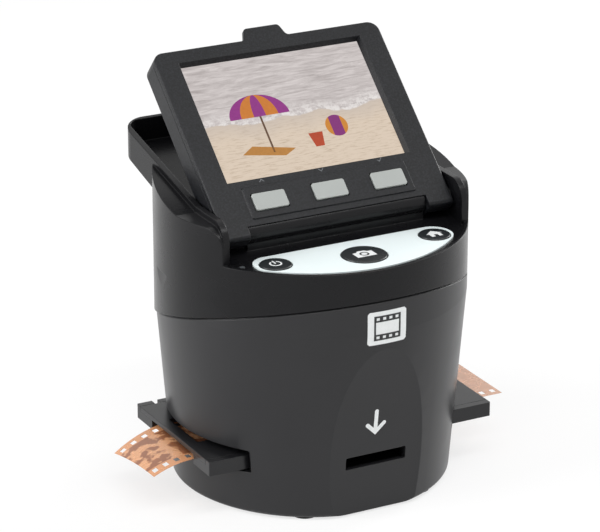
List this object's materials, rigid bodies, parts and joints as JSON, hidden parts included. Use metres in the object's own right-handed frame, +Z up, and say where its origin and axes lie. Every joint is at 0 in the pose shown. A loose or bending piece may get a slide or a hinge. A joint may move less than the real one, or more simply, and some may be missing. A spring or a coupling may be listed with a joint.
{
  "type": "film scanner",
  "caption": "Round desktop film scanner with a fold-up display, a button panel, a card slot and a film holder that slides through the body.",
  "frame": {"origin": "middle of the body's footprint, on the table", "axes": "+Z up, the front with the card slot and the button panel looks along -Y, the film holder slides along X"},
  "size_m": [0.1522, 0.119, 0.1653],
  "materials": {
    "shell_black": "semi-gloss moulded",
    "display_black": "fine texture",
    "overlay_white": "smooth",
    "button_black": "gloss",
    "key_grey": "satin",
    "light_pipe": "clear",
    "screen_glass": "polished",
    "backlight_metal": "satin",
    "holder_black": "fine texture",
    "film_brown": "smooth film",
    "steel": "plated",
    "rubber": "matte",
    "inner_black": "matte",
    "reflector_white": "matte",
    "diffuser_white": "frosted",
    "lens_glass": "coated",
    "circuit_green": "solder mask"
  },
  "bodies": {
    "housing": {"lower_housing": "shell_black", "upper_housing": "shell_black", "base_cover": "inner_black", "rubber_feet": "rubber", "cover_screws": "steel", "housing_screws": "steel", "panel_overlay": "overlay_white", "status_light": "light_pipe", "switch_board": "circuit_green", "panel_switches": "inner_black", "hinge_pin_left": "steel", "hinge_pin_right": "steel", "hinge_washers": "inner_black", "film_guide": "inner_black", "lamp_circuit": "circuit_green", "lamp_reflector": "reflector_white", "light_diffuser": "diffuser_white", "camera_hood": "inner_black", "lens_barrel": "inner_black", "lens_elements": "lens_glass", "sensor_circuit": "circuit_green", "main_circuit": "circuit_green", "usb_socket": "steel", "video_socket": "inner_black", "card_socket": "steel", "card_circuit": "circuit_green"},
    "display": {"display_bezel": "display_black", "display_back_cover": "display_black", "screen_glass": "screen_glass", "screen_backlight": "backlight_metal", "display_board": "circuit_green", "menu_switches": "inner_black"},
    "menu_button_1": {"menu_button_1": "key_grey"},
    "menu_button_2": {"menu_button_2": "key_grey"},
    "menu_button_3": {"menu_button_3": "key_grey"},
    "power_button": {"power_button": "button_black"},
    "capture_button": {"capture_button": "button_black"},
    "home_button": {"home_button": "button_black"},
    "film_holder": {"film_holder_base": "holder_black", "film_holder_lid": "holder_black"},
    "film_strip": {"film_strip": "film_brown"}
  },
  "joints": [
    {"name": "display_hinge", "type": "hinge", "parent": "housing", "child": "display", "pos_m": [0, -0.0177, 0.1069], "axis": [1, 0, 0], "range_deg": [-27.3, 38.2]},
    {"name": "menu_button_1_press", "type": "slide", "parent": "display", "child": "menu_button_1", "axis": [0, 0.6665, -0.7455], "range_m": [0, 0.0006], "stiffness_N_per_m": 2500},
    {"name": "menu_button_2_press", "type": "slide", "parent": "display", "child": "menu_button_2", "axis": [0, 0.6665, -0.7455], "range_m": [0, 0.0006], "stiffness_N_per_m": 2500},
    {"name": "menu_button_3_press", "type": "slide", "parent": "display", "child": "menu_button_3", "axis": [0, 0.6665, -0.7455], "range_m": [0, 0.0006], "stiffness_N_per_m": 2500},
    {"name": "power_button_press", "type": "slide", "parent": "housing", "child": "power_button", "axis": [0, 0, -1], "range_m": [0, 0.0006], "stiffness_N_per_m": 2500},
    {"name": "capture_button_press", "type": "slide", "parent": "housing", "child": "capture_button", "axis": [0, 0, -1], "range_m": [0, 0.0006], "stiffness_N_per_m": 2500},
    {"name": "home_button_press", "type": "slide", "parent": "housing", "child": "home_button", "axis": [0, 0, -1], "range_m": [0, 0.0006], "stiffness_N_per_m": 2500},
    {"name": "film_holder_slide", "type": "slide", "parent": "housing", "child": "film_holder", "axis": [1, 0, 0], "range_m": [-0.038, 0.012]},
    {"name": "film_slide", "type": "slide", "parent": "film_holder", "child": "film_strip", "axis": [1, 0, 0], "range_m": [-0.038, 0]}
  ]
}
